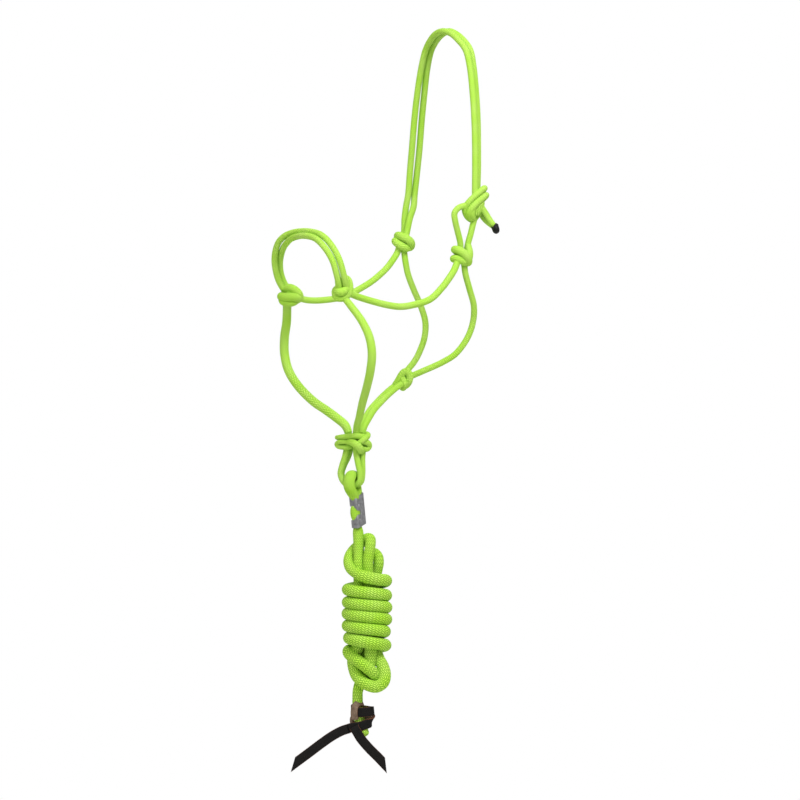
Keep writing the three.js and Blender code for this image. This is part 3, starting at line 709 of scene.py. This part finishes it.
knot(
    "tie_knot",
    (about(TIE, [
        (2, 5, -10), (6, 13, -9), (10.8, 19.2, -6), (11.8, 20.6, -1), (7.8, 17.6, 4.4), (1.1, 11.8, 8),
        (-5.6, 5.5, 9.5), (-11.4, -1.3, 9), (-14.1, -7.4, 7), (-12.7, -13.8, 4),
        (-8.9, -19, 0), (-4, -20.7, -5),
        (0, -14, -9),
    ]), 8.5),
    (about(TIE, [
        (2, -2, -10), (8.6, 5.2, -9), (13.3, 10.1, -5), (13.9, 11.6, 0), (9.8, 8.2, 5), (4, 3.1, 8.5),
        (-2, -2.8, 10), (-6.8, -8.8, 9.6), (-8.2, -14.8, 7), (-5.3, -19.4, 2), (0, -18, -5), (4, -10, -9),
    ]), [8.4, 8.4, 8.4, 8.4, 8.6, 8.8, 9.2, 9.4, 9.2, 8.8, 8.6, 8.4]),
    (about(TIE, [(0, -1, 6), (-2.6, -5, 8), (-4.6, -10.4, 8.6), (-4.6, -15.8, 6.4), (-3, -19.6, 1)]), 9),
    (about(TIE, [(8, 5, 0), (5, -2, 2), (2, -9, 2), (-1, -15, 0)]), 12.5),
)
knot(
    "fiador_knot",
    (about(FIADOR, [
        (-10, 4, -10), (-18, 4.8, -5), (-21.2, 5.4, 1.5), (-19, 5.8, 6.6),
        (-14.6, 6.4, 10.4), (-7, 7, 12.8),
        (0.8, 7.6, 13.4), (7, 7.4, 12.2), (13, 6.6, 8.4), (17, 6.4, 2), (14, 6.8, -7), (5, 6.8, -12),
        (-5, 6, -12.4), (-12, 5, -10),
    ]), [7, 6.6, 5.8, 6, 6.4, 7.2, 7.8, 8, 8, 8, 8.4, 8.6, 8.4, 8]),
    (about(FIADOR, [
        (4, -3, 6), (7.4, -2, 9.6), (10.6, -0.2, 12), (15, 3.4, 12.2), (18.8, 6.4, 9.8), (19.9, 9, 5.4),
        (17, 10.2, 0), (9, 9.6, -5), (2, 8, -6),
    ]), [7, 7.4, 7.8, 8, 7.8, 7.4, 7.4, 7.4, 7]),
    (about(FIADOR, [
        (0, -1, 7), (-7.8, -0.3, 10.4), (-14.9, -0.2, 9.6), (-19.6, -1.2, 6.6), (-21.7, -3.9, 3.2),
        (-19.6, -6.5, 4.6), (-14.9, -7.6, 7), (-9.4, -7.8, 8), (-3.9, -7.2, 6), (0, -6, 1),
    ]), [6, 6.4, 6.4, 6.2, 6, 6.2, 6.4, 6.4, 6.4, 6]),
    (about(FIADOR, [
        (-8, 0.6, 2), (-6.6, 0.2, 7.6), (-3.4, -0.4, 12), (0.8, -2.1, 14.8),
        (5.5, -5.2, 15.2), (9.2, -8.9, 13),
        (10.7, -12, 8.6), (10, -13, 4),
    ]), [8, 8.6, 9.4, 9.8, 10, 9.8, 9, 8]),
    (about(FIADOR, [
        (10, -0.6, 6), (14, -0.2, 8.6), (18.4, -1, 8), (21.4, -3.8, 4.6), (21.4, -7, 3), (18.6, -9.8, 4),
        (14.5, -9.4, 5), (10, -7, 3),
    ]), [7.4, 7.8, 8, 7.8, 7.6, 7.8, 8, 7.6]),
    (about(FIADOR, [
        (21, -5, 1), (17.6, -5, -6), (9, -6, -11), (0, -6.4, -12.6), (-9, -6, -11),
        (-18, -4.6, -5), (-20.6, -4.2, 1),
    ]), 8.6),
    (about(FIADOR, [(-13, -1, 0), (-6, 0, 3), (2, 0, 4), (9, -1, 2), (14, 0, 0)]), 14),
)

# ------------------------------------------------------------------ the tie's eye and tails

TIE_EYE_FRONT = [
    (69.5, -17, -291), (71.8, -19.4, -278), (73.6, -25, -262), (75.2, -29.4, -250), (75.5, -31, -239),
    (76, -25.5, -232), (76.5, -17, -229), (77, -7, -228),
]
TIE_EYE_REAR = [
    (70, -8.6, -291), (72.4, -7.2, -278), (73, -3.6, -266), (73, -0.8, -256),
    (73, 2.6, -245), (73, 6, -232),
]
strand("tie_eye_rope_front", TIE_EYE_FRONT, 8.2, ["tie_loop_front"])
strand("tie_eye_rope_rear", TIE_EYE_REAR, 8.2, ["tie_loop_rear"])

CAP = (92.55, 23.2, -259.15)
TAIL_UPPER = [
    (80.6, 3, -223), (83.6, 9.2, -233.6), (86.2, 13.6, -241.4), (90.4, 17.1, -249.4), (95.2, 20.3, -255.9),
]
TAIL_LOWER = [
    (76, 8.4, -229), (74.6, 12.8, -240.4), (77.6, 16.8, -247.4), (81.8, 19.8, -252), (87.2, 24.1, -257.6),
]
strand("crown_tail_rope_upper", TAIL_UPPER, [8.2, 8.2, 8, 7.4, 6.4], ["crown_tail_upper"])
strand("crown_tail_rope_lower", TAIL_LOWER, [8.2, 8.2, 8, 7.4, 6.4], ["crown_tail_lower"])


def tail_cap():
    """An oval cap that holds both tails, one behind the other, and is rounded at both ends."""
    along = np.array([0.33, 0.14, -0.93])
    along /= np.linalg.norm(along)
    side = np.cross(rows(TAIL_UPPER[-1]) - rows(TAIL_LOWER[-1]), along)
    side /= np.linalg.norm(side)
    deep = np.cross(side, along)
    vertices, faces, sides, levels = [], [], 48, 26
    for i in range(levels + 1):
        share = -math.cos(math.pi * i / levels)
        power = 4.0 if share < 0 else 2.3
        radius = max(0.02, (1 - abs(share) ** power) ** (1 / power))
        ridge = 0.12 * (abs(share + 0.62) < 0.08)
        for k in range(sides):
            turn = 2 * math.pi * k / sides
            vertices.append(rows(CAP) + along * 6.9 * share + (radius + ridge * 0.5) * (
                side * 4.9 * math.cos(turn) + deep * 7.2 * math.sin(turn)))
    for i in range(levels):
        for k in range(sides):
            m = (k + 1) % sides
            faces.append((i * sides + k, i * sides + m, (i + 1) * sides + m, (i + 1) * sides + k))
    faces.append(tuple(range(sides))[::-1])
    faces.append(tuple(range(levels * sides, (levels + 1) * sides)))
    cap = add_mesh("tail_cap", vertices, faces, [cap_black], "halter")
    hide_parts("crown_tail_cap")


tail_cap()

# ------------------------------------------------------------------ the loops that hold the lead

LOOP_FRONT = [
    (-12.0, -538), (-12.5, -545), (-14, -556), (-16, -564), (-19.5, -574.5), (-21.7, -585), (-18, -595),
    (-12.5, -599.4), (-6.6, -599.6), (0, -599.4), (4.6, -595), (5.8, -585), (3.6, -574.5), (1.4, -564),
    (0, -556), (-0.5, -545), (-0.6, -538),
]
LOOP_REAR = [
    (-10.2, -538), (-10.5, -545), (-11.5, -556), (-14.5, -564), (-19.8, -574.5), (-22.6, -585), (-18, -595),
    (-12.5, -599.4), (-6.6, -599.6), (0, -599.4), (4.8, -595), (6.4, -585), (6.4, -574.5), (6.2, -564),
    (6.8, -556), (7, -545), (7, -538),
]
LOOP_SPREAD = 3.8
LOOP_SIZES = [7.6, 8, 8.2, 8.2, 8.2, 8, 7.6, 7.2, 7.1, 7.2, 7.6, 8, 8.2, 8.2, 8.2, 8, 7.6]


def lead_loop(name, route, side, node):
    """One loop just under the fiador knot, baked into the row frame on no body."""
    points = in_lead([(x, side * LOOP_SPREAD, z) for x, z in route])
    obj, _ = strand(name, points, LOOP_SIZES, [node], body=None)
    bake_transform(obj)


lead_loop("lead_loop_rope_front", LOOP_FRONT, -1, "lead_loop_front")
lead_loop("lead_loop_rope_rear", LOOP_REAR, 1, "lead_loop_rear")

# ------------------------------------------------------------------ the clamp

CLAMP_MIDDLE = in_lead([(1.3, 0, -637)])[0]
CLAMP_WIDTH, CLAMP_DEPTH, CLAMP_HEIGHT = 12.6, 18.0, 41.0
CLAMP_WALL = 1.2
clamp_turn = LEAD_TURN + math.radians(-22)
lean = math.radians(5.5)
lead_x = np.array([math.cos(LEAD_TURN), math.sin(LEAD_TURN), 0])
CLAMP_UP = UP * math.cos(lean) - lead_x * math.sin(lean)
CLAMP_X = np.array([math.cos(clamp_turn), math.sin(clamp_turn), 0])
CLAMP_X = CLAMP_X - (CLAMP_X @ CLAMP_UP) * CLAMP_UP
CLAMP_X /= np.linalg.norm(CLAMP_X)
CLAMP_Y = np.cross(CLAMP_UP, CLAMP_X)


def sleeve_outline(width, depth, corner, segments=6):
    """Points round a rounded rectangle, from its right side."""
    points = []
    for cx, cy, start in ((1, 1, 0), (-1, 1, 90), (-1, -1, 180), (1, -1, 270)):
        for i in range(segments + 1):
            turn = math.radians(start + 90 * i / segments)
            points.append((
                cx * (width / 2 - corner) + corner * math.cos(turn),
                cy * (depth / 2 - corner) + corner * math.sin(turn),
            ))
    return points


def closed_solid(name, low_ring, high_ring):
    """A closed solid between two rings of points in millimetres, to cut with."""
    n = len(low_ring)
    vertices = [tuple(value * MM for value in point) for point in (*low_ring, *high_ring)]
    faces = [tuple(range(n))[::-1], tuple(range(n, 2 * n))]
    faces += [(k, (k + 1) % n, n + (k + 1) % n, n + k) for k in range(n)]
    mesh = bpy.data.meshes.new(name)
    mesh.from_pydata(vertices, [], faces)
    obj = bpy.data.objects.new(name, mesh)
    bpy.context.scene.collection.objects.link(obj)
    return obj


def prism(name, outline, low, high):
    """An upright prism on an outline."""
    return closed_solid(name, *([(x, y, z) for x, y in outline] for z in (low, high)))


def drum(name, centre, radius, half, sides=48, stretch=1.0):
    """A cylinder along y. stretch makes it oval."""
    rings = []
    for end in (-half, half):
        ring = []
        for k in range(sides):
            turn = 2 * math.pi * k / sides
            ring.append((
                centre[0] + radius * math.sin(turn) * stretch,
                centre[1] + end,
                centre[2] + radius * math.cos(turn),
            ))
        rings.append(ring)
    return closed_solid(name, *rings)


def make_clamp():
    """A folded sheet sleeve with oblique ends, a round notch over one edge and two dimples."""
    half = CLAMP_HEIGHT / 2
    body = prism("clamp_sleeve", sleeve_outline(CLAMP_WIDTH, CLAMP_DEPTH, 2.2), -half, half)
    inside = sleeve_outline(CLAMP_WIDTH - 2 * CLAMP_WALL, CLAMP_DEPTH - 2 * CLAMP_WALL, 1.3)
    tools = [
        prism("cut_inside", inside, -CLAMP_HEIGHT, CLAMP_HEIGHT),
        drum("cut_notch", (-CLAMP_WIDTH / 2 + 1, -CLAMP_DEPTH / 2, 0.4), 9.3, 7, stretch=1.3),
        drum("cut_slit", (0, CLAMP_DEPTH / 2, 0), 0.5, 3),
    ]
    for height in (-8.2, 11.2):
        bpy.ops.mesh.primitive_uv_sphere_add(segments=24, ring_count=12, radius=1.8 * MM,
                                             location=(7.0 * MM, -4.4 * MM, height * MM))
        tools.append(bpy.context.object)
    for tool in tools:
        cut = body.modifiers.new("cut", "BOOLEAN")
        cut.operation = "DIFFERENCE"
        cut.object = tool
        cut.solver = "EXACT"
    edge = body.modifiers.new("edge", "BEVEL")
    edge.width = 0.22 * MM
    edge.segments = 2
    edge.limit_method = "ANGLE"
    edge.angle_limit = math.radians(50)
    bpy.context.view_layer.update()
    done = bpy.data.meshes.new_from_object(body.evaluated_get(bpy.context.evaluated_depsgraph_get()))
    for tool in tools:
        bpy.data.objects.remove(tool)
    bpy.data.objects.remove(body)
    local = np.array([v.co for v in done.vertices]) / MM
    skew = 0.34 * (local[:, 1] + CLAMP_DEPTH / 2) - 0.12 * (local[:, 0] - CLAMP_WIDTH / 2)
    edge_share = np.clip((np.abs(local[:, 2]) - 12) / 8, 0, 1)
    local[:, 2] += skew * edge_share
    world = CLAMP_MIDDLE + local[:, :1] * CLAMP_X + local[:, 1:2] * CLAMP_Y + local[:, 2:3] * CLAMP_UP
    done.vertices.foreach_set("co", (world * MM).astype(np.float32).ravel())
    done.materials.clear()
    done.materials.append(zinc)
    clamp = bpy.data.objects.new("clamp", done)
    bpy.context.scene.collection.objects.link(clamp)
    bpy.context.view_layer.objects.active = clamp
    for polygon in done.polygons:
        polygon.use_smooth = True
    done.set_sharp_from_angle(angle=math.radians(35))
    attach(clamp, "lead")
    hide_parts("lead_clamp")
    return clamp


clamp = make_clamp()


def clamp_fill():
    """The squeezed rope inside the clamp, which swells out through its notch."""
    points, sizes = [], []
    swelling = (
        (-18, 0, 8.4), (-12.4, 0, 9.4), (-8, 0.5, 11.4), (-4, 1, 12.8), (0.4, 1.2, 13.2),
        (4.8, 1, 12.8), (8.8, 0.5, 11.4), (13, 0, 9.4), (18, 0, 8.4),
    )
    for height, out, size in swelling:
        points.append(CLAMP_MIDDLE - CLAMP_Y * (3 + out) - CLAMP_X * out * 0.8 + CLAMP_UP * height)
        sizes.append(size)
    obj, _ = rope("clamp_rope_fill", points, lead_green, LEAD_PLAITS, sizes, "lead", sides=48, depth=0.2)
    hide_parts("lead_splice")
    return obj


fill = clamp_fill()

# ------------------------------------------------------------------ the leather popper


def strap(name, points, widths, body, width=STRAP_WIDTH, thickness=2.6, skew=0.0, flip=False, step=2.0,
          narrow=None):
    """A flat strap. Each point has the direction across the strap. Its front is smooth, its back
    is suede and its cut edges are brown. skew makes its far end oblique."""
    line, cross = smooth(points, step, widths)
    cross /= np.linalg.norm(cross, axis=1)[:, None]
    tangent = np.gradient(line, axis=0)
    tangent /= np.linalg.norm(tangent, axis=1)[:, None]
    cross -= (cross * tangent).sum(1)[:, None] * tangent
    cross /= np.linalg.norm(cross, axis=1)[:, None]
    out = np.cross(cross, tangent) * (-1 if flip else 1)
    half, deep, soft = width / 2, thickness / 2, 0.45
    section = [(-half + soft, deep), (-half / 2, deep), (0, deep), (half / 2, deep), (half - soft, deep),
               (half, deep - soft), (half, -deep + soft),
               (half - soft, -deep), (half / 2, -deep), (0, -deep),
               (-half / 2, -deep), (-half + soft, -deep),
               (-half, -deep + soft), (-half, deep - soft)]
    kind = [0, 0, 0, 0, 1, 1, 1, 2, 2, 2, 2, 1, 1, 1]
    n, m = len(line), len(section)
    vertices = []
    for i in range(n):
        share = i / (n - 1)
        slim = 1.0 if narrow is None else narrow[0] + (narrow[1] - narrow[0]) * share
        ease = max(0.0, (share - 0.7) / 0.3)
        for across_, up_ in section:
            shift = skew * ease * across_ / half
            vertices.append(line[i] + cross[i] * across_ * slim + out[i] * up_ + tangent[i] * shift)
    faces, kinds = [], []
    for i in range(n - 1):
        for k in range(m):
            a, b = i * m + k, i * m + (k + 1) % m
            face = (a, b, b + m, a + m)
            faces.append(face if not flip else face[::-1])
            kinds.append(kind[k])
    first, last = tuple(range(m)), tuple(range((n - 1) * m, n * m))
    faces += [first[::-1] if not flip else first, last if not flip else last[::-1]]
    kinds += [1, 1]
    obj = add_mesh(name, vertices, faces, [leather_face, leather_edge, leather_suede], body)
    obj.data.polygons.foreach_set("material_index", kinds)
    obj.data.set_sharp_from_angle(angle=math.radians(50))
    return obj


def facing_points(points):
    """Points given as (right, toward, height) from the lead's axis, in the row frame."""
    p = rows(points)
    return LEAD_AXIS + p[:, :1] * RIGHT + p[:, 1:2] * TOWARD + p[:, 2:3] * UP


def facing_vectors(vectors):
    """Directions given as (right, toward, up), in the row frame."""
    v = rows(vectors)
    return v[:, :1] * RIGHT + v[:, 1:2] * TOWARD + v[:, 2:3] * UP


wrap = strap(
    "popper_wrap_upper",
    facing_points([
        (2, -9, -897), (-4.4, -6.6, -897), (-6.8, -1, -898), (-5, 5.4, -899),
        (0, 9.6, -901), (7, 10.8, -901.5),
        (14, 10.4, -901), (19.8, 8.4, -900), (21.8, 4, -900), (18.4, -2, -900),
        (11, -7, -899), (3, -9.4, -898),
    ]),
    facing_vectors(
        [(0, 0, 1)] * 4 + [(-0.1, 0, 1), (-0.2, 0, 1), (-0.3, 0, 1), (-0.3, 0, 1)] + [(-0.1, 0, 1)] * 4
    ),
    "lead", flip=True,
)
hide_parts("popper_knot")
strap(
    "popper_flap",
    facing_points([
        (-2.4, 8.2, -911), (-3.4, 10.2, -906), (-3.4, 10.6, -899), (-1.6, 9.6, -892.5), (3.2, 6, -889.6),
        (8, 2, -890),
    ]),
    facing_vectors([
        (1, 0.15, 0.1), (1, 0.15, 0), (1, 0.2, -0.1), (0.95, 0.2, -0.35), (0.8, 0.1, -0.6), (0.7, 0, -0.7),
    ]),
    "lead", width=9.5, thickness=2.4, flip=True,
)
strap(
    "popper_fold",
    facing_points([(13, -8.4, -898), (13.4, -9.6, -906), (12.4, -8.6, -914)]),
    facing_vectors([(1, 0.3, 0.1), (1, 0.3, 0.1), (1, 0.3, 0.1)]),
    "lead", width=13,
)
strap(
    "popper_band",
    facing_points([
        (20, 1, -909), (20, 5.4, -912), (17, 8.6, -915.5), (10.5, 9.4, -918),
        (4, 9.4, -920), (-6.5, 9.4, -921.5),
        (-12.6, 9.4, -923.5),
    ]),
    facing_vectors([
        (0.5, 0, 1), (0.5, 0, 1), (0.4, 0, 1), (0.3, 0, 1), (0.22, 0, 1), (0.2, 0, 1), (0.3, 0, 1),
    ]),
    "lead", width=12.6,
)
strap(
    "popper_link",
    facing_points([(-4, -6, -903), (-7, -2.5, -910), (-5.4, 1, -918), (-2, 6, -925)]),
    facing_vectors([(0.2, 1, 0), (0.3, 1, 0), (0.6, 0.8, 0.1), (1, 0.3, 0.3)]),
    "lead", width=9,
)


def loose_end(name, points, widths, start, end, body, node, **options):
    """A loose end of the strap where it leaves the knot, baked into the row frame on no body."""
    obj = strap(name, facing_points(points), facing_vectors(widths), None, **options)
    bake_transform(obj)
    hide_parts(node)


loose_end(
    "popper_end_right_strap",
    [(-10.5, 9.4, -923), (-14.2, 9.4, -924), (-21, 9.4, -926.5), (-33, 9.4, -933), (-46, 9.4, -942),
     (-62, 9.4, -954), (-85, 9.4, -971)],
    [(0.28, 0, 1), (0.32, 0, 1), (0.42, 0, 1), (0.52, 0, 0.85),
     (0.57, 0, 0.82), (0.6, 0, 0.8), (0.6, 0, 0.8)],
    (-12, 9.4, -923.6), (-19, 9.4, -925.6), "popper_end_right", "popper_tail_right", skew=-8.5,
)
loose_end(
    "popper_end_left_strap",
    [(-4, 11.4, -920.5), (-1.6, 12.6, -925), (0.8, 12.6, -929), (5, 12.6, -936), (16, 12.6, -949),
     (27.5, 12.6, -960.5), (38.5, 12.6, -972)],
    [(0.9, 0, 0.45), (0.88, 0, 0.5), (0.86, 0, 0.5), (0.82, 0, 0.57),
     (0.74, 0, 0.67), (0.7, 0, 0.7), (0.7, 0, 0.7)],
    (0, 12.6, -927.6), (3.6, 12.6, -934), "popper_end_left", "popper_tail_left", skew=-8.5, flip=True,
)

# ------------------------------------------------------------------ the lead's line in metres, computed and not kept

lead_line * MM

# ------------------------------------------------------------------ floor, lights and world


def make_stage():
    """A pale floor well under the lead."""
    bpy.ops.mesh.primitive_circle_add(vertices=96, radius=1.6, fill_type="NGON", location=(0, -0.068, -1.25))
    floor = bpy.context.object
    floor.name = "floor"
    material, tree, shader = new_material("floor_pale")
    tree.links.new(mix_colours(tree, noise(tree, 3.0), linear((236, 236, 234)), linear((242, 242, 241))),
                   shader.inputs["Base Color"])
    shader.inputs["Roughness"].default_value = 0.9
    floor.data.materials.append(material)


def add_light(name, offset, size, power):
    """A soft square lamp, placed by (right, up, toward) from the object's middle."""
    data = bpy.data.lights.new(name, "AREA")
    data.size = size
    data.energy = power
    lamp = bpy.data.objects.new(name, data)
    bpy.context.scene.collection.objects.link(lamp)
    middle = Vector(LIT_MIDDLE) * MM
    lamp.location = Vector(about(LIT_MIDDLE, [offset])[0]) * MM
    lamp.rotation_euler = (middle - lamp.location).to_track_quat("-Z", "Y").to_euler()


def make_world():
    """White all round: a little dimmer as light than as a backdrop."""
    world = bpy.data.worlds.new("white")
    bpy.context.scene.world = world
    world.use_nodes = True
    tree = world.node_tree
    tree.nodes.clear()
    seen, lit = (tree.nodes.new("ShaderNodeBackground") for _ in range(2))
    for background, strength in ((seen, 1.0), (lit, 0.42)):
        background.inputs["Color"].default_value = (1, 1, 1, 1)
        background.inputs["Strength"].default_value = strength
    path = tree.nodes.new("ShaderNodeLightPath")
    mix = tree.nodes.new("ShaderNodeMixShader")
    out = tree.nodes.new("ShaderNodeOutputWorld")
    tree.links.new(path.outputs["Is Camera Ray"], mix.inputs[0])
    tree.links.new(lit.outputs[0], mix.inputs[1])
    tree.links.new(seen.outputs[0], mix.inputs[2])
    tree.links.new(mix.outputs[0], out.inputs[0])


make_stage()
add_light("key", (900, 2100, 1700), 1.0, 66)
add_light("fill", (-1300, 1600, 1700), 1.6, 26)
add_light("rim", (900, 1300, -1900), 1.2, 16)
make_world()
bpy.context.scene.view_settings.view_transform = "Standard"
